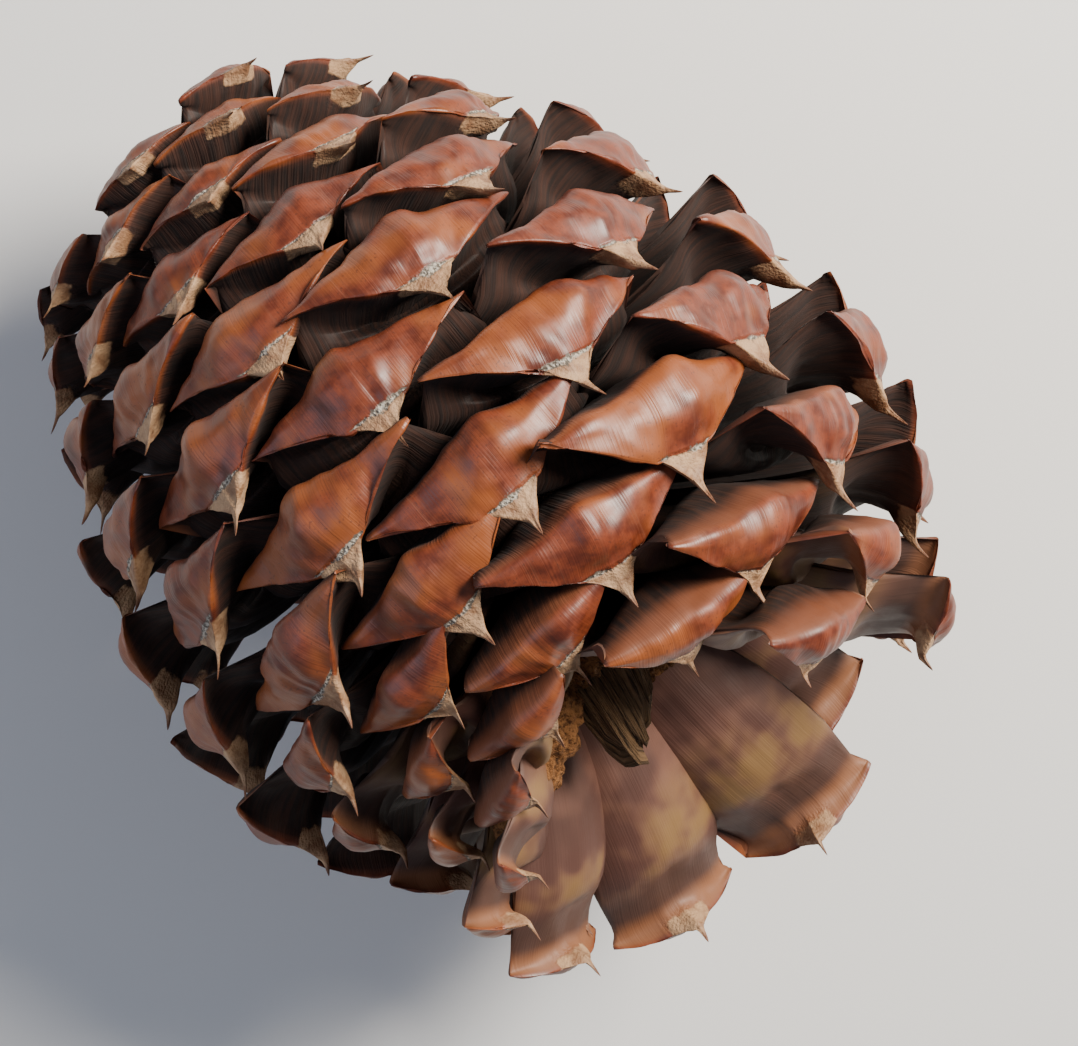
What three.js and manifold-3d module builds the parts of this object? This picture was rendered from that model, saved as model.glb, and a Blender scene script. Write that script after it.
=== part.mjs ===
// An open, woody pine cone lying on its side, in millimetres, +Z up.
// It is built upright on its own axis, stalk end down, and then laid down as it rests.

import * as THREE from 'three';
import { mergeVertices } from 'three/addons/utils/BufferGeometryUtils.js';
import Module from 'manifold-3d';

const wasm = await Module();
wasm.setup();

const { clamp, degToRad, lerp, smoothstep } = THREE.MathUtils;

// The spiral: how many scales there are and how far each is turned from the one before
const SCALE_COUNT = 112;
const TURN_PER_SCALE = degToRad(137.79);
const FIRST_SCALE_TURN = degToRad(55.1);

// Values at six stations, spaced evenly through the count from the stalk to the tip
const UMBO_RADII = [28.4, 33.5, 48.4, 50.8, 40.5, 28];
const UMBO_HEIGHTS = [-38.5, -22.6, -2.9, 26.8, 57, 81];
const FOOT_HEIGHTS = [-5.5, 1.5, 15, 32, 52, 74];
const CORE_RADII = [12.5, 12.5, 11.5, 9.8, 7, 3];
const HEAD_WIDTHS = [12.5, 15.5, 23.5, 23.5, 19.5, 13];

// Near the stalk the cone is lopsided: lifted and long on some sides, with bigger heads on one
const LOPSIDED_COUNT = 66;
const LIFT = 12;
const LIFTED_SIDE = degToRad(136);
const STRETCH = 0.43;
const LONG_SIDE = degToRad(3);
const SWELL = 0.28;
const BIG_HEAD_SIDE = degToRad(235);
const BEND_PER_SQUARE = 0.001;

// Near the tip it is a little lopsided again
const TIP_COUNT = 55;
const TIP_LIFT = 2.3;
const TIP_LIFTED_SIDE = degToRad(-85);
const TIP_STRETCH = 0.21;
const TIP_LONG_SIDE = degToRad(-1);

// The lowest scales stayed on the branch, except round one side
const WHOLE_FROM = 16;
const KEPT_SIDE = degToRad(60);
const KEPT_HALF_ANGLE = degToRad(74);

// One scale, from its foot on the axis to the prickle on its head
const FOOT_HALF_WIDTH = 1.7;
const FOOT_THICKNESS = 1.3;
const BLADE_THICKNESS = 1.7;
const BLADE_FLARE = 1.4;
const HEAD_DEPTH = 9;
const LIP_SETBACK = 2;
const LIP_DROP = 1.3;
const BROW_SETBACK = 2.2;
const BROW_SHARE = 0.55;
const RIM_SETBACK = 6.5;
const KEEL_DROP = 0.14;
const RIM_RISE = 0.2;
const CORNER_RISE = 0.19;
const CORNER_SWEEP = 0.2;
const CORNER_THINNING = 0.8;
const PRICKLE_LENGTH = 4;
const PRICKLE_DROP = 2.5;
const SINGLE_STEPS = 4;
const FUSED_STEPS = 2;
const GAP = 0.45;
const SLIVER = 0.03;

// Scales from the first to the last single one are loose pieces. Those nearer the stalk and the
// tip are grown together at their feet, in sleeves round the axis: one below, two above.
const FIRST_SINGLE = 18;
const LAST_SINGLE = 72;
const LAST_SHOULDER = 90;
const SLEEVE_THICKNESS = 1.8;
const NEXT_ABOVE = 16;
const NEXT_BELOW = 20;
const SPIRAL_NEIGHBOURS = [5, 8];

// The axis, with torn wood round the broken stalk that it ends in
const CORE_TOP = 78;
const TORN_OUTLINE = [[0, -12.5], [5.5, -12.5], [9, -10.5], [11.3, -7]];
const STALK_RADIUS = 5.2;
const STALK_END_RADIUS = 4.8;
const STALK_LENGTH = 17;
const STALK_FOOT = new THREE.Vector3(0, 1.5, -3);
const STALK_LEAN_X = degToRad(8);
const STALK_LEAN_Y = degToRad(6);
const SIDES_ROUND = 20;

// How the cone lies: turned about its axis, laid over from upright, then turned on the table
const TURN_ABOUT_AXIS = degToRad(-8.6);
const LAID_OVER = degToRad(115.5);
const HEADING = degToRad(127.5);

const SCALE_WOOD = { color: 0x8c3f22, roughness: 0.45, metalness: 0 };
const AXIS_WOOD = { color: 0x5a3620, roughness: 0.88, metalness: 0 };

// A smooth curve through the stations, read at a scale's place in the count
function station(values, index) {
  const curve = new THREE.SplineCurve(values.map((value) => new THREE.Vector2(value, 0)));
  return curve.getPoint(clamp(index / (SCALE_COUNT - 1), 0, 1)).x;
}

function turnOf(index) {
  return FIRST_SCALE_TURN + index * TURN_PER_SCALE;
}

// How lopsided the cone still is at a scale, from 1 at the stalk down to nothing
function lopsidedAt(index) {
  return Math.exp(-(((index + 9) / LOPSIDED_COUNT) ** 2));
}

// The same from the tip down
function lopsidedAtTip(index) {
  return Math.exp(-(((SCALE_COUNT - 1 - index) / TIP_COUNT) ** 2));
}

function bendAt(height) {
  return BEND_PER_SQUARE * height * height;
}

function pointAbout(turn, radius, height, lift = 0) {
  return new THREE.Vector3(radius * Math.cos(turn), radius * Math.sin(turn) + bendAt(height), height + lift);
}

function umboOf(index) {
  const turn = turnOf(index);
  const stretch = STRETCH * lopsidedAt(index) * Math.cos(turn - LONG_SIDE);
  const tipStretch = TIP_STRETCH * lopsidedAtTip(index) * Math.cos(turn - TIP_LONG_SIDE);
  const lift = LIFT * lopsidedAt(index) * Math.cos(turn - LIFTED_SIDE);
  const tipLift = TIP_LIFT * lopsidedAtTip(index) * Math.cos(turn - TIP_LIFTED_SIDE);
  const radius = station(UMBO_RADII, index) * (1 + stretch + tipStretch);
  return pointAbout(turn, radius, station(UMBO_HEIGHTS, index), lift + tipLift);
}

function footOf(index) {
  return pointAbout(turnOf(index), station(CORE_RADII, index) + GAP, station(FOOT_HEIGHTS, index));
}

function headWidthOf(index) {
  const swell = SWELL * lopsidedAt(index) * Math.cos(turnOf(index) - BIG_HEAD_SIDE);
  return station(HEAD_WIDTHS, index) * (1 + swell);
}

function isKept(index) {
  return index >= WHOLE_FROM || Math.cos(turnOf(index) - KEPT_SIDE) > Math.cos(KEPT_HALF_ANGLE);
}

function toSolid(geometry) {
  const bare = geometry.clone();
  bare.deleteAttribute('normal');
  bare.deleteAttribute('uv');
  const merged = mergeVertices(bare, 1e-4);
  const mesh = new wasm.Mesh({
    numProp: 3,
    vertProperties: Float32Array.from(merged.attributes.position.array),
    triVerts: Uint32Array.from(merged.index.array),
  });
  return new wasm.Manifold(mesh);
}

function toGeometry(solid) {
  const mesh = solid.getMesh();
  const geometry = new THREE.BufferGeometry();
  geometry.setAttribute('position', new THREE.BufferAttribute(Float32Array.from(mesh.vertProperties), 3));
  geometry.setIndex(new THREE.BufferAttribute(Uint32Array.from(mesh.triVerts), 1));
  geometry.computeVertexNormals();
  return geometry;
}

// The largest closed body of a solid, without the crumbs and slivers that a cut can leave
function mainBody(solid) {
  const bodies = solid.simplify(SLIVER).decompose();
  return bodies.reduce((largest, body) => (body.volume() > largest.volume() ? body : largest));
}

// The side view of a scale at its middle, with x from the foot to the umbo and y towards the tip
function sideProfile(length, width) {
  const rise = RIM_RISE * width;
  const drop = KEEL_DROP * width;
  const backX = length - HEAD_DEPTH;
  return new THREE.Shape([
    new THREE.Vector2(0, FOOT_THICKNESS / 2),
    new THREE.Vector2(0, -FOOT_THICKNESS / 2),
    new THREE.Vector2(backX, -BLADE_THICKNESS / 2 - 0.3 * drop),
    new THREE.Vector2(length - LIP_SETBACK, -drop - LIP_DROP),
    new THREE.Vector2(length + PRICKLE_LENGTH, -drop - PRICKLE_DROP),
    new THREE.Vector2(length + 0.2, -drop + 1),
    new THREE.Vector2(length - BROW_SETBACK, BROW_SHARE * rise),
    new THREE.Vector2(length - RIM_SETBACK, rise),
    new THREE.Vector2(backX, BLADE_THICKNESS / 2 + 0.1 * rise),
  ]);
}

// The side view pushed through the scale's width, then drawn in towards the foot and swept up and
// back into thin pointed corners. Only the middle keeps the prickle's point, and the keel runs
// where it would be elsewhere. Clearance makes the scale a little larger all round.
function scaleGeometry(length, width, steps, clearance) {
  const profile = sideProfile(length, width);
  const geometry = new THREE.ExtrudeGeometry(profile, { depth: 2, steps, bevelEnabled: false });
  const position = geometry.attributes.position;
  const rimX = length - RIM_SETBACK;
  for (let i = 0; i < position.count; i += 1) {
    const across = 1 - position.getZ(i);
    const off = Math.abs(across);
    const onKeel = off > 0.1 && position.getX(i) > length + 1;
    const along = onKeel ? length - 0.4 : position.getX(i);
    const side = onKeel ? -KEEL_DROP * width - 0.2 : position.getY(i);
    const edge = off ** 1.5;
    const head = smoothstep(along, length - HEAD_DEPTH - 3, rimX);
    const halfWidth = lerp(FOOT_HALF_WIDTH, width / 2, clamp(along / rimX, 0, 1) ** BLADE_FLARE);
    const thinned = side * (1 - CORNER_THINNING * edge * head) + Math.sign(side) * clearance;
    const swept = along - CORNER_SWEEP * width * edge * head * (along / length);
    const x = along > rimX ? swept + clearance : swept;
    position.setXYZ(i, x, across * (halfWidth + clearance), thinned + CORNER_RISE * width * edge * head);
  }
  return geometry;
}

// Local x runs from the foot to the umbo, y round the cone and z towards the tip
function scaleMatrix(index) {
  const foot = footOf(index);
  const out = umboOf(index).sub(foot).normalize();
  const turn = turnOf(index);
  const around = new THREE.Vector3(-Math.sin(turn), Math.cos(turn), 0);
  const up = out.clone().cross(around).normalize();
  around.crossVectors(up, out);
  return new THREE.Matrix4().makeBasis(out, around, up).setPosition(foot);
}

function scaleSolid(index, steps = SINGLE_STEPS, clearance = 0) {
  const length = umboOf(index).distanceTo(footOf(index));
  const geometry = scaleGeometry(length, headWidthOf(index), steps, clearance);
  return toSolid(geometry.applyMatrix4(scaleMatrix(index)));
}

// A solid cut back to leave a gap to those scales of a list that it runs into
function clearOf(solid, indices) {
  let trimmed = solid;
  for (const index of indices.filter(isKept)) {
    const neighbour = scaleSolid(index, SINGLE_STEPS, GAP).add(scaleSolid(index));
    if (trimmed.intersect(neighbour).volume() > 0) trimmed = trimmed.subtract(neighbour);
  }
  return mainBody(trimmed);
}

// A round solid about the axis, from its outline of radii and heights, moved with the bend
function turnedAboutAxis(outline) {
  const points = outline.map(([radius, height]) => new THREE.Vector2(radius, height));
  const geometry = new THREE.LatheGeometry(points, SIDES_ROUND);
  geometry.rotateX(Math.PI / 2);
  const position = geometry.attributes.position;
  for (let i = 0; i < position.count; i += 1) {
    position.setY(i, position.getY(i) + bendAt(position.getZ(i)));
  }
  return toSolid(geometry);
}

// The axis's outline between two scales' feet, moved out by some distance
function axisOutline(first, last, outwards, points) {
  return Array.from({ length: points }, (_, i) => {
    const index = lerp(first, last, i / (points - 1));
    return [station(CORE_RADII, index) + outwards, station(FOOT_HEIGHTS, index)];
  });
}

function axisWithStalk() {
  const sides = axisOutline(0, SCALE_COUNT - 1, -GAP, 7);
  const core = turnedAboutAxis([...TORN_OUTLINE, ...sides, [0, CORE_TOP]]);
  const stalk = new THREE.CylinderGeometry(STALK_RADIUS, STALK_END_RADIUS, STALK_LENGTH, 10);
  stalk.translate(0, -STALK_LENGTH / 2, 0);
  stalk.rotateX(Math.PI / 2 + STALK_LEAN_X);
  stalk.rotateY(-STALK_LEAN_Y);
  stalk.translate(STALK_FOOT.x, STALK_FOOT.y, STALK_FOOT.z);
  return core.add(toSolid(stalk));
}

// Fused scales and the sleeve round their feet as one solid, clear of the loose scales near them
function fusedScales(first, last, neighbours) {
  const inner = axisOutline(first, last, GAP, 4);
  const outer = axisOutline(first, last, GAP + SLEEVE_THICKNESS, 4);
  let group = turnedAboutAxis([...outer, ...inner.reverse(), outer[0]]);
  for (const index of range(first, last).filter(isKept)) {
    group = group.add(scaleSolid(index, FUSED_STEPS));
  }
  return clearOf(group, neighbours);
}

function range(first, last) {
  return Array.from({ length: last - first + 1 }, (_, i) => first + i);
}

function piece(name, solid, finish) {
  const mesh = new THREE.Mesh(toGeometry(solid), new THREE.MeshStandardMaterial(finish));
  mesh.name = name;
  return mesh;
}

const upright = new THREE.Group();
const aboveBase = range(FIRST_SINGLE, FIRST_SINGLE + NEXT_ABOVE);
const belowShoulder = range(LAST_SINGLE - NEXT_BELOW, LAST_SINGLE);
const belowTip = range(LAST_SHOULDER - NEXT_BELOW, LAST_SHOULDER);
const baseScales = fusedScales(0, FIRST_SINGLE - 1, aboveBase);
const shoulderScales = fusedScales(LAST_SINGLE + 1, LAST_SHOULDER, belowShoulder);
const tipScales = fusedScales(LAST_SHOULDER + 1, SCALE_COUNT - 1, belowTip);
upright.add(piece('axis_with_stalk', axisWithStalk(), AXIS_WOOD));
upright.add(piece('base_scales', baseScales, SCALE_WOOD));
upright.add(piece('shoulder_scales', shoulderScales, SCALE_WOOD));
upright.add(piece('tip_scales', tipScales, SCALE_WOOD));
for (const index of range(FIRST_SINGLE, LAST_SINGLE)) {
  const solid = clearOf(scaleSolid(index), SPIRAL_NEIGHBOURS.map((step) => index - step));
  upright.add(piece(`scale_${index}`, solid, SCALE_WOOD));
}
upright.rotation.z = TURN_ABOUT_AXIS;

// The laid-down cone stands on its lowest point, centred over the origin
const laidOver = new THREE.Group();
laidOver.rotation.y = LAID_OVER;
laidOver.add(upright);
const cone = new THREE.Group();
cone.rotation.z = HEADING;
cone.add(laidOver);
const box = new THREE.Box3().setFromObject(cone, true);
const middle = box.getCenter(new THREE.Vector3());
cone.position.set(-middle.x, -middle.y, -box.min.z);

export default cone;
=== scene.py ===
"""The looks of an open pine cone lying on its side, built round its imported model.

Shapes are worked out in millimetres in the frame of the upright cone, stalk end down, and one
matrix lays them down where the model lies, in metres.
"""

import math
import random

import bmesh
import bpy
from mathutils import Matrix, Vector, noise


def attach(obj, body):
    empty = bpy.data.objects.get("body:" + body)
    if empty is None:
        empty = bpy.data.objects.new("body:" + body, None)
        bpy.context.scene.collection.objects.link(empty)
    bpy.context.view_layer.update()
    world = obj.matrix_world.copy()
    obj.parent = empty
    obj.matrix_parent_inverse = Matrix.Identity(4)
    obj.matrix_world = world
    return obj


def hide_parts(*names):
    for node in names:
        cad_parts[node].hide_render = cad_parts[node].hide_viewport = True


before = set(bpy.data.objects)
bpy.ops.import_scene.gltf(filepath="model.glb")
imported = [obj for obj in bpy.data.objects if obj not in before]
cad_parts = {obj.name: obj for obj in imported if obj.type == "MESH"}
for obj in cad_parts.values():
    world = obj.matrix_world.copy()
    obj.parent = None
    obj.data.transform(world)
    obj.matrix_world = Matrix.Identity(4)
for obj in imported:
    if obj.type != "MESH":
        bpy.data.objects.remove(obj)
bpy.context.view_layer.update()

MM = 0.001

# How the cone lies: turned about its axis, laid over from upright, then turned on the table.
# The axis foot is where the middle of the stalk end comes to lie, in metres.
TURN_ABOUT_AXIS = math.radians(-8.6)
LAID_OVER = math.radians(115.5)
HEADING = math.radians(127.5)
AXIS_FOOT = Vector((0.00759, -0.00961, 0.07010))

# The spiral of scales, as in the model
SCALE_COUNT = 112
TURN_PER_SCALE = math.radians(137.79)
FIRST_SCALE_TURN = math.radians(55.1)
UMBO_RADII = (28.4, 33.5, 48.4, 50.8, 40.5, 28)
UMBO_HEIGHTS = (-38.5, -22.6, -2.9, 26.8, 57, 81)
FOOT_HEIGHTS = (-5.5, 1.5, 15, 32, 52, 74)
CORE_RADII = (12.5, 12.5, 11.5, 9.8, 7, 3)
LOPSIDED_COUNT = 66
LIFT = 12
LIFTED_SIDE = math.radians(136)
STRETCH = 0.43
LONG_SIDE = math.radians(3)
SWELL = 0.28
BIG_HEAD_SIDE = math.radians(235)
BEND_PER_SQUARE = 0.001
TIP_COUNT = 55
TIP_LIFT = 2.3
TIP_LIFTED_SIDE = math.radians(-85)
TIP_STRETCH = 0.21
TIP_LONG_SIDE = math.radians(-1)
WHOLE_FROM = 16
KEPT_SIDE = math.radians(60)
KEPT_HALF_ANGLE = math.radians(74)
FIRST_SINGLE = 18
LAST_SINGLE = 72
LAST_SHOULDER = 90

# A scale's head at full size, above and below the middle of its umbo, and how wide the heads
# are along the spiral
HEAD_WIDTHS = (15.5, 20, 30.5, 31, 26, 17.5)
FULL_WIDTH = 30
HEAD_SHIFT = -0.6
RIM_RISE = 9.4
CORNER_RISE = 6.4
KEEL_RISE = 2.5
BACK_RISE = 4.6
CORNER_SWEEP = 5.6
UMBO_HALF_WIDTH = 3.7
SMALL_HEAD_UMBO = 0.55
LARGEST_ROUND_HEAD = 0.8
LAST_BARE_BACK = 24
FIRST_COVERED_BACK = 36
FOOT_HALF_WIDTH = 3.2
BLADE_FLARE = 0.5
BLADE_SHARE = 1.12
BARE_BACK_FLARE = 0.35
BARE_BACK_DOME = 3.8
PRICKLE_LENGTH = 2.9
PRICKLE_FOOT = 0.75
PRICKLE_SHRINKS = (0.72, 0.78, 0.82, 0.8, 0.7, 0.3)

# Heads face the stalk end on the lowest scales, straight out higher up, and the tip near it. The
# ranges are the scales over which one tilt passes into the next.
BASE_TILT = math.radians(42)
MIDDLE_TILT = math.radians(12)
TIP_TILT = math.radians(-6)
BASE_TO_MIDDLE = (14, 62)
MIDDLE_TO_TIP = (75, 108)

# The scales on the far side of the hollow are broad
BROAD_SIDE = math.radians(20)
BROADENING = 0.6

# Each control point of the blade's section: its share of the length, and its height. The columns
# of points across a scale stand closer together near its middle.
BLADE_TOP = ((0, 0.65), (0.35, 0.75), (0.7, 0.8))
BLADE_UNDER = ((0.7, -1.1), (0.35, -0.85), (0, -0.65))
POINTS_PER_SPAN = 4
COLUMNS = 44
COLUMN_CROWDING = 1.35

# Each scale draws its own small differences, and leans a little off its place in the spiral
FIRST_SEED = 1000
ROLL_SPREAD = 0.05
PITCH_SPREAD = 0.03


def clamp(value, low=0.0, high=1.0):
    return min(max(value, low), high)


def lerp(start, end, share):
    return start + (end - start) * share


def smooth(value, low, high):
    share = clamp((value - low) / (high - low))
    return share * share * (3 - 2 * share)


def curve_between(before, start, end, after, share):
    """A point of the uniform Catmull-Rom curve between start and end."""
    leave = (end - before) * 0.5
    arrive = (after - start) * 0.5
    cubic = 2 * start - 2 * end + leave + arrive
    square = 3 * end - 3 * start - 2 * leave - arrive
    return ((cubic * share + square) * share + leave) * share + start


def station(values, index):
    """A smooth curve through values spaced evenly along the spiral, read at a scale's place."""
    place = clamp(index / (SCALE_COUNT - 1)) * (len(values) - 1)
    at = min(int(place), len(values) - 2)
    before, after = values[max(at - 1, 0)], values[min(at + 2, len(values) - 1)]
    return curve_between(before, values[at], values[at + 1], after, place - at)


def turn_of(index):
    return FIRST_SCALE_TURN + index * TURN_PER_SCALE


def lopsided_at(index):
    return math.exp(-(((index + 9) / LOPSIDED_COUNT) ** 2))


def lopsided_at_tip(index):
    return math.exp(-(((SCALE_COUNT - 1 - index) / TIP_COUNT) ** 2))


def point_about(turn, radius, height, lift=0.0):
    bend = BEND_PER_SQUARE * height * height
    return Vector((radius * math.cos(turn), radius * math.sin(turn) + bend, height + lift))


def umbo_of(index):
    turn = turn_of(index)
    stretch = STRETCH * lopsided_at(index) * math.cos(turn - LONG_SIDE)
    stretch += TIP_STRETCH * lopsided_at_tip(index) * math.cos(turn - TIP_LONG_SIDE)
    lift = LIFT * lopsided_at(index) * math.cos(turn - LIFTED_SIDE)
    lift += TIP_LIFT * lopsided_at_tip(index) * math.cos(turn - TIP_LIFTED_SIDE)
    radius = station(UMBO_RADII, index) * (1 + stretch)
    return point_about(turn, radius, station(UMBO_HEIGHTS, index), lift)


def foot_of(index):
    return point_about(turn_of(index), station(CORE_RADII, index), station(FOOT_HEIGHTS, index))


def head_width_of(index):
    swell = SWELL * math.cos(turn_of(index) - BIG_HEAD_SIDE)
    broad = BROADENING * max(0, math.cos(turn_of(index) - BROAD_SIDE))
    return station(HEAD_WIDTHS, index) * (1 + (swell + broad) * lopsided_at(index))


def tilt_of(index):
    """How far a head is turned from facing straight out towards facing the stalk end."""
    lower = lerp(BASE_TILT, MIDDLE_TILT, smooth(index, *BASE_TO_MIDDLE))
    return lerp(lower, TIP_TILT, smooth(index, *MIDDLE_TO_TIP))


def is_kept(index):
    return index >= WHOLE_FROM or math.cos(turn_of(index) - KEPT_SIDE) > math.cos(KEPT_HALF_ANGLE)


def laid_down():
    """From millimetres in the upright cone's frame to metres where the cone lies."""
    turned = Matrix.Rotation(HEADING, 4, "Z") @ Matrix.Rotation(LAID_OVER, 4, "Y")
    turned = turned @ Matrix.Rotation(TURN_ABOUT_AXIS, 4, "Z")
    return Matrix.Translation(AXIS_FOOT) @ turned @ Matrix.Scale(MM, 4)


def scale_matrix(index):
    """Local x runs from the foot to the umbo, y round the cone and z towards the tip."""
    foot = foot_of(index)
    out = (umbo_of(index) - foot).normalized()
    turn = turn_of(index)
    around = Vector((-math.sin(turn), math.cos(turn), 0))
    up = out.cross(around).normalized()
    around = up.cross(out)
    placed = Matrix((out, around, up)).transposed().to_4x4()
    placed.translation = foot
    return placed


LAID_DOWN = laid_down()


def finished(name, mesh_source, material, nodes):
    """Turns a bmesh into a piece of the cone, with its finish and what it stands for."""
    mesh = bpy.data.meshes.new(name)
    mesh_source.to_mesh(mesh)
    mesh_source.free()
    piece = bpy.data.objects.new(name, mesh)
    bpy.context.scene.collection.objects.link(piece)
    mesh.materials.append(material)
    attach(piece, "root")
    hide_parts(*nodes)
    return piece


class Value:
    """A shader socket that takes part in sums and products."""

    def __init__(self, finish, socket):
        self.finish = finish
        self.socket = socket

    def _math(self, operation, first, second):
        return self.finish.node("ShaderNodeMath", {"operation": operation}, {0: first, 1: second})

    def __add__(self, other):
        return self._math("ADD", self, other)

    def __radd__(self, other):
        return self._math("ADD", other, self)

    def __sub__(self, other):
        return self._math("SUBTRACT", self, other)

    def __rsub__(self, other):
        return self._math("SUBTRACT", other, self)

    def __mul__(self, other):
        return self._math("MULTIPLY", self, other)

    def __rmul__(self, other):
        return self._math("MULTIPLY", other, self)


class Finish:
    """A material under construction, with one method that adds any node."""

    def __init__(self, name, **constants):
        self.material = bpy.data.materials.new(name)
        self.material.use_nodes = True
        self.tree = self.material.node_tree
        self.shader = next(n for n in self.tree.nodes if n.type == "BSDF_PRINCIPLED")
        for socket, value in constants.items():
            self.shader.inputs[socket.replace("_", " ")].default_value = value

    def node(self, kind, settings=None, sockets=None, output=0):
        added = self.tree.nodes.new(kind)
        for name, value in (settings or {}).items():
            if name == "stops":
                self._set_stops(added.color_ramp, value)
            else:
                setattr(added, name, value)
        for name, value in (sockets or {}).items():
            if isinstance(value, Value):
                self.tree.links.new(value.socket, added.inputs[name])
            else:
                added.inputs[name].default_value = value
        return Value(self, added.outputs[output])

    @staticmethod
    def _set_stops(ramp, stops):
        while len(ramp.elements) < len(stops):
            ramp.elements.new(1)
        for element, (position, colour) in zip(ramp.elements, stops):
            element.position = position
            element.color = (*colour, 1)

    def place(self):
        return self.node("ShaderNodeTexCoord", output=3)

    def attribute(self, name):
        return self.node("ShaderNodeAttribute", {"attribute_name": name}, output=2)

    def noise(self, vector, scale, detail=3.0, roughness=0.5):
        sockets = {"Vector": vector, "Scale": scale, "Detail": detail, "Roughness": roughness}
        return self.node("ShaderNodeTexNoise", {}, sockets)

    def stretched(self, vector, scale):
        return self.node("ShaderNodeMapping", {}, {"Vector": vector, "Scale": scale})

    def step(self, value, low, high):
        sockets = {"Value": value, "From Min": low, "From Max": high}
        return self.node("ShaderNodeMapRange", {"interpolation_type": "SMOOTHSTEP"}, sockets)

    def mix(self, first, second, factor):
        first, second = (c if isinstance(c, Value) else (*c, 1) for c in (first, second))
        sockets = {0: factor, 6: first, 7: second}
        return self.node("ShaderNodeMix", {"data_type": "RGBA"}, sockets, output=2)

    def bump(self, height, strength, distance):
        sockets = {"Height": height, "Strength": strength, "Distance": distance}
        return self.node("ShaderNodeBump", {}, sockets)

    def feed(self, **values):
        for socket, value in values.items():
            self.tree.links.new(value.socket, self.shader.inputs[socket.replace("_", " ")])
        return self.material


def scale_wood():
    """Polished red-brown heads with straw-coloured umbos, on blades of dark lined wood made near black by
    painted shade.
    """
    wood = Finish("scale_wood", Coat_Roughness=0.38, Coat_Weight=0.12, Specular_IOR_Level=0.5)
    place = wood.place()
    along = wood.node("ShaderNodeUVMap", {"uv_map": "along"})
    field, back, umbo = (wood.attribute(name) for name in ("field", "back", "umbo"))
    reach, tone, bare = (wood.attribute(name) for name in ("reach", "tone", "bare"))
    edge, tip = (wood.attribute(name) for name in ("edge", "prickle"))

    blotches = wood.noise(place, 110, 2)
    clouds = wood.noise(place, 330, 3, 0.6)
    grain = wood.noise(wood.stretched(along, (14, 0.9, 1)), 1.0, 3, 0.6)
    fine_lines = wood.noise(wood.stretched(along, (42, 0.8, 1)), 1.0, 1)
    specks = wood.noise(place, 2600, 1)

    # The head's outer face: red-brown, more orange in blotches, with a rosy bloom in places
    red = wood.mix((0.085, 0.016, 0.007), (0.185, 0.036, 0.011), wood.step(clouds, 0.33, 0.66))
    orange = wood.mix(red, (0.245, 0.064, 0.015), wood.step(blotches + tone * 0.10, 0.44, 0.66))
    face = wood.mix(orange, (0.195, 0.066, 0.034), wood.step(grain, 0.52, 0.75) * 0.35)
    face = wood.mix(face, (0.060, 0.018, 0.010), wood.step(specks + clouds * 0.5, 0.90, 1.0) * 0.5)

    # The side towards the tip: dark lined wood, made near black by painted shade of the cavities, with a
    # warmer rim
    lined = wood.mix((0.009, 0.003, 0.0015), (0.036, 0.011, 0.004), wood.step(grain, 0.35, 0.7))
    rim = wood.step(reach, 0.84, 0.99)
    inner = wood.mix(lined, (0.19, 0.055, 0.020), rim * 0.8)

    # The side towards the stalk: near black with painted shade where it lies covered, rosy and olive where
    # it lies bare
    shaded = wood.mix((0.009, 0.003, 0.0015), (0.036, 0.011, 0.005), wood.step(grain, 0.3, 0.7))
    rosy = wood.mix((0.085, 0.033, 0.022), (0.175, 0.076, 0.050), wood.step(blotches, 0.35, 0.65))
    olive = wood.step(reach, 0.40, 0.62) * (1 - wood.step(reach, 0.70, 0.84))
    bare_back_and_painted_light = wood.mix(rosy, (0.205, 0.110, 0.038), olive * wood.step(blotches, 0.40, 0.62))
    # Painted shadow: a dark band on the bare back, short of the head
    bare_back_and_painted_light = wood.mix(bare_back_and_painted_light, (0.060, 0.028, 0.019), wood.step(reach, 0.74, 0.86) * 0.85)
    # Painted light: a lighter orange-brown band along the keel edge, where light falls
    bare_back_and_painted_light = wood.mix(bare_back_and_painted_light, (0.22, 0.085, 0.035), wood.step(reach, 0.90, 0.97))
    streaked = wood.mix(bare_back_and_painted_light, (0.05, 0.022, 0.015), wood.step(grain, 0.60, 0.85) * 0.25)
    under = wood.mix(shaded, streaked, bare)

    colour = wood.mix(inner, under, back)
    colour = wood.mix(colour, face, field)

    # The umbo: straw, with a thin grey crust along its upper edge, browner towards its point
    on_umbo = wood.step(umbo + (clouds - 0.5) * 1.1, 0.0, 0.3)
    straw = wood.mix((0.22, 0.105, 0.048), (0.43, 0.26, 0.14), wood.step(clouds, 0.35, 0.62))
    straw = wood.mix(straw, (0.16, 0.062, 0.028), wood.step(tip, 0.15, 0.8))
    colour = wood.mix(colour, straw, on_umbo)
    ragged = edge + (clouds - 0.5) * 3.2 + (specks - 0.5) * 1.2
    crust = 1 - wood.step(ragged, 0.1, 0.55)
    pale = wood.mix((0.10, 0.08, 0.06), (0.44, 0.40, 0.33), wood.step(specks, 0.40, 0.62))
    colour = wood.mix(colour, pale, crust)

    gloss = wood.step(clouds, 0.3, 0.7) * 0.14 + 0.38
    lined_dullness = 0.48 - bare * 0.28
    roughness = gloss + on_umbo * 0.22 + crust * 0.3 + (1 - field) * lined_dullness
    lined_depth = (1 - field) * (0.5 - bare * 0.35) + field * 0.15
    gritty = wood.step(umbo, -0.6, 0.2) * 0.6 + (1 - wood.step(edge, 0.1, 0.9)) * 0.9
    normal = wood.bump(fine_lines * lined_depth + specks * gritty, 0.6, 0.0006)
    return wood.feed(Base_Color=colour, Roughness=roughness, Normal=normal)


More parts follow.
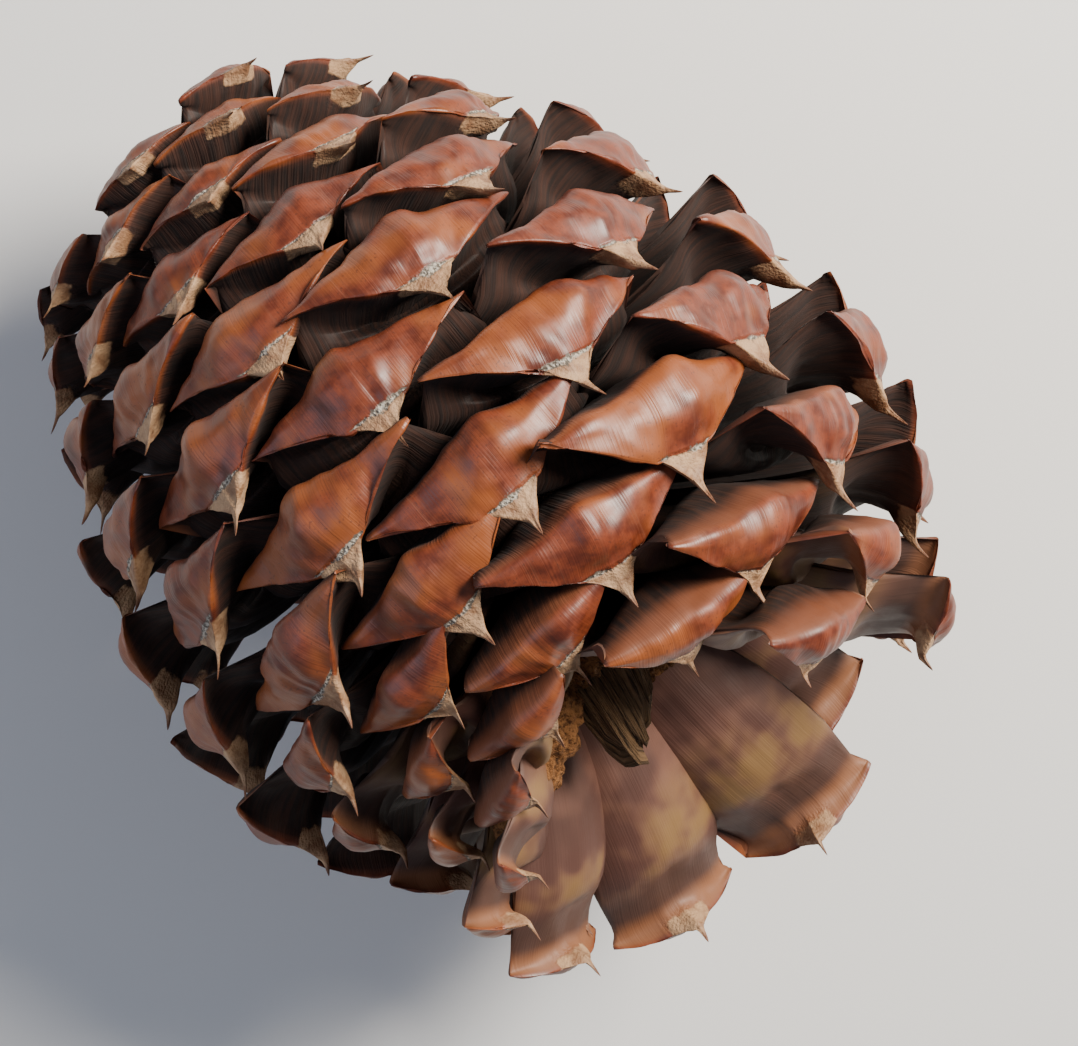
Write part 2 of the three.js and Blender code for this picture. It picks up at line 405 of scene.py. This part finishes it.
def axis_wood():
    """Rough dark wood of the axis, made near black by painted shade deep in the cone."""
    wood = Finish("axis_wood", Specular_IOR_Level=0.3)
    place = wood.place()
    clouds = wood.noise(place, 420, 4, 0.65)
    # Painted shade: the axis colours are kept near black for the shade deep inside the cone
    colour = wood.mix((0.016, 0.007, 0.004), (0.060, 0.026, 0.012), wood.step(clouds, 0.35, 0.7))
    normal = wood.bump(clouds, 0.9, 0.0012)
    return wood.feed(Base_Color=colour, Roughness=clouds * 0.2 + 0.72, Normal=normal)


def stalk_bark():
    """Grey-brown fibres of the broken stalk, with painted shade almost black in their cracks."""
    bark = Finish("stalk_bark", Specular_IOR_Level=0.3)
    place = bark.place()
    along = bark.node("ShaderNodeUVMap", {"uv_map": "along"})
    fibres = bark.noise(bark.stretched(along, (26, 1.6, 1)), 1.0, 5, 0.65)
    clouds = bark.noise(place, 500, 4, 0.6)
    # Painted shade: near black in the cracks, where the fibres' bump height is low
    colour = bark.mix((0.020, 0.011, 0.006), (0.26, 0.150, 0.072), bark.step(fibres, 0.34, 0.58))
    colour = bark.mix(colour, (0.20, 0.135, 0.075), bark.step(fibres + clouds * 0.4, 0.80, 0.95) * 0.7)
    normal = bark.bump(fibres + clouds * 0.4, 1.0, 0.0012)
    return bark.feed(Base_Color=colour, Roughness=clouds * 0.2 + 0.75, Normal=normal)


def torn_wood():
    """Crumbly orange wood, laid open where scales and stalk broke away."""
    torn = Finish("torn_wood", Specular_IOR_Level=0.25)
    place = torn.place()
    crumbs = torn.noise(place, 1100, 5, 0.7)
    clouds = torn.noise(place, 260, 3, 0.6)
    colour = torn.mix((0.095, 0.036, 0.013), (0.43, 0.19, 0.068), torn.step(crumbs, 0.34, 0.60))
    colour = torn.mix(colour, (0.030, 0.014, 0.008), torn.step(clouds, 0.55, 0.70) * 0.85)
    normal = torn.bump(crumbs + clouds, 1.0, 0.0016)
    return torn.feed(Base_Color=colour, Roughness=crumbs * 0.15 + 0.8, Normal=normal)


# A scale's section is a ring of control points, counted from its foot over the side towards the
# tip, down the head's outer face, and back along the side towards the stalk
SECTION_SIZE = 18
LAST_TOP, HEAD_BACK, RIM, FRINGE, APEX, LIP, FIRST_UNDER = 2, 3, 5, 9, 11, 12, 15


class Head:
    """The sizes of one scale, and where the control points of its section lie."""

    def __init__(self, index, rng):
        self.length = (umbo_of(index) - foot_of(index)).length
        self.width = head_width_of(index) * rng.uniform(0.96, 1.06)
        self.grown = self.width / FULL_WIDTH
        self.umbo_half = UMBO_HALF_WIDTH * lerp(SMALL_HEAD_UMBO, 1, self.grown) * rng.uniform(0.9, 1.1)
        self.skew = rng.uniform(-0.12, 0.12)
        self.boss = rng.uniform(-0.25, 0.35)
        self.roundness = clamp((LARGEST_ROUND_HEAD - self.grown) / 0.3)
        self.bare = 1.0 - smooth(index, LAST_BARE_BACK, FIRST_COVERED_BACK)
        self.tilt = tilt_of(index)

    def blade_point(self, which, across):
        share, height = BLADE_TOP[which] if which <= LAST_TOP else BLADE_UNDER[which - FIRST_UNDER]
        off = abs(across)
        flare = share ** lerp(BLADE_FLARE, BARE_BACK_FLARE, self.bare)
        reach = lerp(FOOT_HALF_WIDTH, BLADE_SHARE * self.width / 2, flare)
        cup = lerp(BACK_RISE, CORNER_RISE, off * off) * self.grown + HEAD_SHIFT
        rise = height * (1 - 0.65 * off**2) + cup * share * share
        if which >= FIRST_UNDER:
            rise -= BARE_BACK_DOME * self.bare * (1 - off * off) * math.sin(math.pi * share)
        return Vector((share * (self.length - 4 * self.grown * off * off * share), across * reach, rise))

    def point(self, which, across):
        """Where a control point of the section lies at a place across the scale, from -1 to 1."""
        if which <= LAST_TOP or which >= FIRST_UNDER:
            return self.blade_point(which, across)
        spot = self.head_point(which, across)
        turned_by = self.tilt * (0.55 if which in (HEAD_BACK, FIRST_UNDER - 1) else 1)
        out, up = spot.x - self.length, spot.z
        spot.x = self.length + out * math.cos(turned_by) + up * math.sin(turned_by)
        spot.z = up * math.cos(turned_by) - out * math.sin(turned_by)
        return spot

    def head_point(self, which, across):
        """The same before the head is tilted: how far out, how far across and how high."""
        off = abs(across)
        half = self.width / 2
        grown = self.grown
        pull = clamp(1 - off * half / self.umbo_half)
        arch = lerp(1 - off**1.35, 1 - off**2.2, self.roundness) * (1 + self.skew * across)
        boss = math.exp(-(((across - self.boss) / 0.22) ** 2)) * (1 - self.roundness)
        fall = min((1 - off) / 0.74, 1.0) ** lerp(1.45, 0.8, self.roundness)
        corner = CORNER_RISE * grown + HEAD_SHIFT
        rim = corner + ((RIM_RISE - CORNER_RISE) * arch + 1.1 * boss) * grown
        keel = corner - (CORNER_RISE - KEEL_RISE) * fall * grown
        out = self.length - CORNER_SWEEP * grown * off * off
        bulge = (1 - off**1.6) * grown
        dip = math.exp(-(((off - 0.55) / 0.22) ** 2)) * grown
        thin = 0.25 + 0.75 * (1 - off)

        if which == HEAD_BACK:
            rise = lerp(BACK_RISE + 1.2, CORNER_RISE, off * off) * grown + HEAD_SHIFT
            return Vector((out - 10.5 * bulge - 1.5, across * half * lerp(1, 0.9, off), rise))
        if which == 4:
            rise = lerp(keel, rim, 0.82)
            return Vector((out - 6.0 * bulge - 0.8, across * half * lerp(1, 0.97, off), rise))
        if which == RIM:
            return Vector((out - 4.0 * bulge - 0.15, across * half, rim))
        if which == 6:
            ahead = (1.7 - 0.6 * boss) * bulge + 0.4 * dip
            return Vector((out - ahead, across * half, lerp(rim, keel, 0.24)))
        if which == 7:
            ahead = (0.5 - 0.5 * boss) * bulge + 0.6 * dip
            return Vector((out - ahead, across * half, lerp(rim, keel, 0.54)))
        if which == 8:
            return Vector((out - 0.1 * bulge - 0.3 * dip, across * half, lerp(rim, keel, 0.84)))
        if which == FRINGE:
            return Vector((out + 0.35 * pull * grown, across * half, keel - 0.1 * thin))
        if which == 10:
            drop = (0.2 * thin + 1.8 * pull) * grown
            return Vector((out + 1.1 * pull * grown, across * half * lerp(1, 0.86, pull), keel - drop))
        if which == APEX:
            drop = (0.35 * thin + 3.3 * pull) * grown
            return Vector((out + 2.1 * pull * grown, across * half * lerp(1, 0.8, pull), keel - drop))
        if which == LIP:
            ahead = (0.5 * pull - 0.5) * grown
            drop = (0.45 * thin + 2.9 * pull) * grown
            return Vector((out + ahead, across * half * lerp(1, 0.9, pull), keel - drop))
        if which == 13:
            drop = 0.35 * thin + 0.7 * bulge
            return Vector((out - 4.4 * bulge - 0.8, across * half * lerp(1, 0.96, off), keel - drop))
        under = lerp(BACK_RISE - 2.8, CORNER_RISE, off * off) * grown + HEAD_SHIFT
        dome = 0.8 * BARE_BACK_DOME * self.bare * (1 - off * off)
        return Vector((out - 9.2 * bulge - 1.5, across * half * lerp(1, 0.9, off), under - dome))


def blank_tube(sides, rows):
    """A closed tube to be shaped: what it stands for depends on each point's angle and height."""
    tube = bmesh.new()
    bmesh.ops.create_cone(tube, cap_ends=True, segments=sides, radius1=1, radius2=1, depth=2)
    lengthwise = [e for e in tube.edges if abs(e.verts[0].co.z - e.verts[1].co.z) > 1]
    bmesh.ops.subdivide_edges(tube, edges=lengthwise, cuts=rows - 1, use_grid_fill=True)
    return tube


BLANK_SCALE = blank_tube(SECTION_SIZE * POINTS_PER_SPAN, COLUMNS)

# What each point of a scale carries for its finish and its wrinkles: whether it is on the head's
# outer face, the side towards the stalk and the umbo, how far along the scale it is, the scale's
# tone, how bare that side lies, its direction seen from the umbo, how far it is from the umbo's
# upper edge, and how far out on the prickle
LAYER_NAMES = ("field", "back", "umbo", "reach", "tone", "bare", "ray", "edge", "prickle")


def shape_scale(index, rng):
    """One scale in its own frame, in millimetres, with the layers its finish reads."""
    head = Head(index, rng)
    tone = rng.uniform(-1, 1)
    seed = Vector((rng.uniform(0, 90), rng.uniform(0, 90), rng.uniform(0, 90)))

    scale = BLANK_SCALE.copy()
    layers = {name: scale.verts.layers.float.new(name) for name in LAYER_NAMES}
    uv = scale.loops.layers.uv.new("along")
    columns = {}
    point_patch = set()
    for vert in scale.verts:
        spread = vert.co.z
        across = math.copysign(abs(spread) ** COLUMN_CROWDING, spread)
        key = round(spread * COLUMNS)
        if key not in columns:
            columns[key] = [head.point(i, across) for i in range(SECTION_SIZE)]
        points = columns[key]
        place = (math.atan2(vert.co.y, vert.co.x) / math.tau) % 1 * SECTION_SIZE
        place = round(place * POINTS_PER_SPAN) / POINTS_PER_SPAN % SECTION_SIZE
        at = int(place)
        around = [points[(at + k) % SECTION_SIZE] for k in (-1, 0, 1, 2)]
        vert.co = curve_between(*around, place - at)
        if abs(place - APEX) < 0.6 and abs(vert.co.y) < PRICKLE_FOOT * lerp(0.5, 1, head.grown):
            point_patch.add(vert)
        vert[layers["field"]] = smooth(place, 4.2, 5.1) * (1 - smooth(place, 11.6, 12.4))
        vert[layers["back"]] = smooth(place, 11.6, 12.3)
        top, under = (place - FRINGE) * 2, (LIP + 0.6 - place) * 2
        beside = head.umbo_half - abs(vert.co.y)
        vert[layers["umbo"]] = min(top, under, beside) if 7 < place < 15 else -3
        vert[layers["edge"]] = abs(place - FRINGE) * 2 + max(0, -beside - 0.2) if 7 < place < 12 else 3
        vert[layers["reach"]] = clamp(vert.co.x / head.length)
        vert[layers["tone"]] = tone
        vert[layers["bare"]] = head.bare
        vert[layers["ray"]] = math.atan2(vert.co.y, max(vert.co.z + 4 * head.grown, 0.2))
    bmesh.ops.recalc_face_normals(scale, faces=scale.faces)
    for face in scale.faces:
        face.smooth = len(face.verts) < 6
        for loop in face.loops:
            loop[uv].uv = (loop.vert.co.y / 10, loop.vert.co.x / 10)
    roughen(scale, layers, head, seed)
    grow_prickle(scale, layers, point_patch, head, rng)
    return scale


def roughen(scale, layers, head, seed):
    """Swells, wrinkles and nicks that every head has in its own way."""
    scale.normal_update()
    moves = []
    for vert in scale.verts:
        at = vert.co + seed * 10
        on_head = smooth(vert.co.x, head.length - 14, head.length - 5)
        swell = noise.noise(at / 6.0) * 0.75 + noise.noise(at / 2.6) * 0.32
        wrinkle = noise.noise(Vector((vert[layers["ray"]] * 7, at.x / 30, seed.z))) * 0.26
        flat = vert[layers["field"]]
        amount = (swell * 0.8 + wrinkle * flat) * on_head * head.grown
        amount += noise.noise(Vector((at.x / 22, at.y / 2.2, at.z / 4))) * 0.25 * (1 - on_head)
        moves.append(vert.normal * amount * smooth(vert.co.x, 1, 9))
    for vert, move in zip(scale.verts, moves):
        vert.co += move


def grow_prickle(scale, layers, patch, head, rng):
    """Draws the umbo's point out into a sharp curved prickle."""
    size = lerp(0.55, 1, head.grown) * rng.uniform(0.7, 1.25)
    faces = [f for f in scale.faces if all(v in patch for v in f.verts)]
    heading = Vector((lerp(0.6, 1.0, head.bare), rng.uniform(-0.2, 0.2), -0.78)).normalized()
    curl = Vector((rng.uniform(0.2, 0.6), rng.uniform(-0.3, 0.3), 0))
    for step, shrink in enumerate(PRICKLE_SHRINKS):
        extruded = bmesh.ops.extrude_face_region(scale, geom=faces)["geom"]
        bmesh.ops.delete(scale, geom=faces, context="FACES_ONLY")
        faces = [g for g in extruded if isinstance(g, bmesh.types.BMFace)]
        verts = [g for g in extruded if isinstance(g, bmesh.types.BMVert)]
        middle = sum((v.co for v in verts), Vector()) / len(verts)
        way = (heading + curl * (step / len(PRICKLE_SHRINKS))).normalized()
        ahead = way * (PRICKLE_LENGTH * size / len(PRICKLE_SHRINKS))
        for vert in verts:
            vert.co = middle + (vert.co - middle) * shrink + ahead
            vert[layers["prickle"]] = (step + 1) / len(PRICKLE_SHRINKS)
            vert[layers["umbo"]] = 2
            vert[layers["edge"]] = 3
        for face in faces:
            face.smooth = True


def scale_name(index):
    return f"pine_scale_{index:03d}"


def node_of(index):
    if index < FIRST_SINGLE:
        return "base_scales"
    if index <= LAST_SINGLE:
        return f"scale_{index}"
    return "shoulder_scales" if index <= LAST_SHOULDER else "tip_scales"


def make_scales(material):
    for index in filter(is_kept, range(SCALE_COUNT)):
        rng = random.Random(FIRST_SEED + index)
        scale = shape_scale(index, rng)
        lean = Matrix.Rotation(rng.uniform(-ROLL_SPREAD, ROLL_SPREAD), 4, "X")
        lean = lean @ Matrix.Rotation(rng.uniform(-PITCH_SPREAD, PITCH_SPREAD), 4, "Y")
        bmesh.ops.transform(scale, matrix=LAID_DOWN @ scale_matrix(index) @ lean, verts=scale.verts)
        # What would press into the sheet is flattened against it
        for vert in scale.verts:
            vert.co.z = max(vert.co.z, 0)
        finished(scale_name(index), scale, material, [node_of(index)])


# Where the stub of the stalk and the ridge of crumbled wood stand, and which way they run
STALK_FOOT = Vector((0, 1.5, -3))
STALK_WAY = Vector((0.1035, 0.139, -0.985)).normalized()
TORN_HEIGHT = -11
RIDGE_MIDDLE = Vector((-5.5, 16, -15))
RIDGE_WAY = Vector((0.1, 0.86, -0.5)).normalized()
RIDGE_HALF_LENGTH = 12


def turned(outline, sides, rows, shaping):
    """A round body from its outline of radii and heights, with shaping(turn, share) to break it."""
    body = blank_tube(sides, rows)
    uv = body.loops.layers.uv.new("along")
    for vert in body.verts:
        share = (vert.co.z + 1) / 2
        turn = math.atan2(vert.co.y, vert.co.x)
        place = share * (len(outline) - 1)
        at = min(int(place), len(outline) - 2)
        (radius, height), (next_radius, next_height) = outline[at], outline[at + 1]
        wider, taller = shaping(turn, share)
        radius = lerp(radius, next_radius, place - at) * wider
        height = lerp(height, next_height, place - at) + taller
        vert.co = Vector((radius * math.cos(turn), radius * math.sin(turn), height))
    bmesh.ops.recalc_face_normals(body, faces=body.faces)
    for face in body.faces:
        face.smooth = True
        for loop in face.loops:
            spot = loop.vert.co
            loop[uv].uv = (math.atan2(spot.y, abs(spot.x) + 0.01) * 0.6, spot.z / 10)
    return body


def axis_core(material):
    """The axis that the scales grow from."""
    stations = [(SCALE_COUNT - 1) * step / 12 for step in range(13)]
    outline = [(station(CORE_RADII, i) + 0.5, station(FOOT_HEIGHTS, i)) for i in stations]
    outline = [(4, TORN_HEIGHT + 2), (11, TORN_HEIGHT + 3), *outline, (1, 78)]

    def rough(turn, share):
        return 1 + 0.08 * noise.noise(Vector((math.cos(turn) * 4, math.sin(turn) * 4, share * 30))), 0

    core = turned(outline, 48, 60, rough)
    for vert in core.verts:
        vert.co.y += BEND_PER_SQUARE * vert.co.z * vert.co.z
    bmesh.ops.transform(core, matrix=LAID_DOWN, verts=core.verts)
    finished("pine_axis", core, material, ["axis_with_stalk"])


def broken_stalk(material):
    """The stub of the stalk, split into fibres, torn off longer on one side."""
    outline = [(3, 2), (5.6, 0), (5.9, -4), (5.4, -8), (5.0, -12), (4.6, -15), (3.4, -17), (1.2, -17.4)]

    def split(turn, share):
        fibre = noise.noise(Vector((math.cos(turn) * 4.5, math.sin(turn) * 4.5, share * 1.2)))
        fine = noise.noise(Vector((math.cos(turn) * 11, math.sin(turn) * 11, share * 3)))
        jagged = noise.noise(Vector((math.cos(turn) * 2.4, math.sin(turn) * 2.4, 7))) * 5
        slant = 3.2 * math.cos(turn + 1.0)
        return 1 + 0.22 * fibre + 0.12 * fine, (jagged + slant) * smooth(share, 0.45, 0.9)

    stub = turned(outline, 72, 48, split)
    lean = STALK_WAY.rotation_difference(Vector((0, 0, -1))).to_matrix().to_4x4().inverted()
    matrix = LAID_DOWN @ Matrix.Translation(STALK_FOOT) @ lean
    bmesh.ops.transform(stub, matrix=matrix, verts=stub.verts)
    finished("pine_stalk", stub, material, ["axis_with_stalk"])


def torn_collar(material):
    """The ragged ring of laid-open wood round the stalk."""
    outline = [(3, -7), (6, -10), (8, -12.5), (10.5, -12.5), (12.8, -9.5), (13.6, -5), (13.2, 0), (11, 4)]

    def ragged(turn, share):
        spot = Vector((math.cos(turn), math.sin(turn), share * 2))
        lumps = noise.noise(spot * 4) * 0.16 + noise.noise(spot * 11) * 0.07
        return 1 + lumps, noise.noise(spot * 6) * 2.2 + 2.2 * math.cos(turn - math.radians(100))

    collar = turned(outline, 120, 60, ragged)
    bmesh.ops.transform(collar, matrix=LAID_DOWN, verts=collar.verts)
    finished("pine_torn_collar", collar, material, ["axis_with_stalk"])


def torn_ridge(material):
    """Crumbled wood that runs out from the stalk where the lowest scales broke away."""
    outline = [(0.6, -1), (3.4, -0.8), (4.3, -0.4), (4.2, 0), (3.6, 0.4), (2.2, 0.8), (0.4, 1)]

    def crumbled(turn, share):
        spot = Vector((math.cos(turn) * 1.3, math.sin(turn) * 1.3, share * 7))
        return 1 + noise.noise(spot * 1.7) * 0.3 + noise.noise(spot * 4.5) * 0.16, noise.noise(spot) * 0.05

    ridge = turned(outline, 80, 90, crumbled)
    for vert in ridge.verts:
        vert.co.z *= RIDGE_HALF_LENGTH
    along = Vector((0, 0, 1)).rotation_difference(RIDGE_WAY).to_matrix().to_4x4()
    matrix = LAID_DOWN @ Matrix.Translation(RIDGE_MIDDLE) @ along
    bmesh.ops.transform(ridge, matrix=matrix, verts=ridge.verts)
    finished("pine_torn_ridge", ridge, material, ["axis_with_stalk"])


# The camera that the photograph was taken from, in metres, and how it was turned
CAMERA_PLACE = Vector((-0.0517, 0.03284, 0.38574))
CAMERA_AIM = Vector((0.00716, -0.00114, 0.05))
CAMERA_ROLL = math.radians(120.52)
CAMERA_LENS = 80.4


def add_camera():
    camera = bpy.data.objects.new("camera", bpy.data.cameras.new("camera"))
    camera.data.lens = CAMERA_LENS
    camera.data.sensor_width = 36
    camera.data.clip_start = 0.01
    facing = (CAMERA_AIM - CAMERA_PLACE).to_track_quat("-Z", "Y").to_matrix().to_4x4()
    camera.matrix_world = (Matrix.Translation(CAMERA_PLACE) @ facing
                           @ Matrix.Rotation(CAMERA_ROLL, 4, "Z"))
    bpy.context.scene.collection.objects.link(camera)
    bpy.context.scene.camera = camera


def add_light(name, place, aim, size, power, colour):
    lamp = bpy.data.lights.new(name, "AREA")
    lamp.shape = "DISK"
    lamp.size = size
    lamp.energy = power
    lamp.color = colour
    light = bpy.data.objects.new(name, lamp)
    light.matrix_world = (Matrix.Translation(place)
                          @ (Vector(aim) - Vector(place)).to_track_quat("-Z", "Y").to_matrix().to_4x4())
    bpy.context.scene.collection.objects.link(light)


def add_stage():
    floor_mesh = bmesh.new()
    bmesh.ops.create_grid(floor_mesh, x_segments=1, y_segments=1, size=2)
    mesh = bpy.data.meshes.new("floor")
    floor_mesh.to_mesh(mesh)
    floor_mesh.free()
    floor = bpy.data.objects.new("floor", mesh)
    bpy.context.scene.collection.objects.link(floor)
    paper = Finish("pale_sheet", Roughness=0.7)
    paper.shader.inputs["Base Color"].default_value = (0.78, 0.775, 0.76, 1)
    mesh.materials.append(paper.material)

    world = bpy.data.worlds.new("soft_room")
    world.use_nodes = True
    sky = world.node_tree.nodes["Background"]
    sky.inputs["Color"].default_value = (0.80, 0.86, 1, 1)
    sky.inputs["Strength"].default_value = 0.20
    bpy.context.scene.world = world
    add_light("key", (0.34, 0.30, 0.50), (0, 0, 0.05), 0.30, 11, (1, 0.93, 0.83))
    add_light("fill", (-0.5, -0.1, 0.45), (0, 0, 0.05), 0.6, 1.4, (0.72, 0.80, 1))


add_camera()
add_stage()
make_scales(scale_wood())
axis_core(axis_wood())
broken_stalk(stalk_bark())
crumbly = torn_wood()
torn_collar(crumbly)
torn_ridge(crumbly)
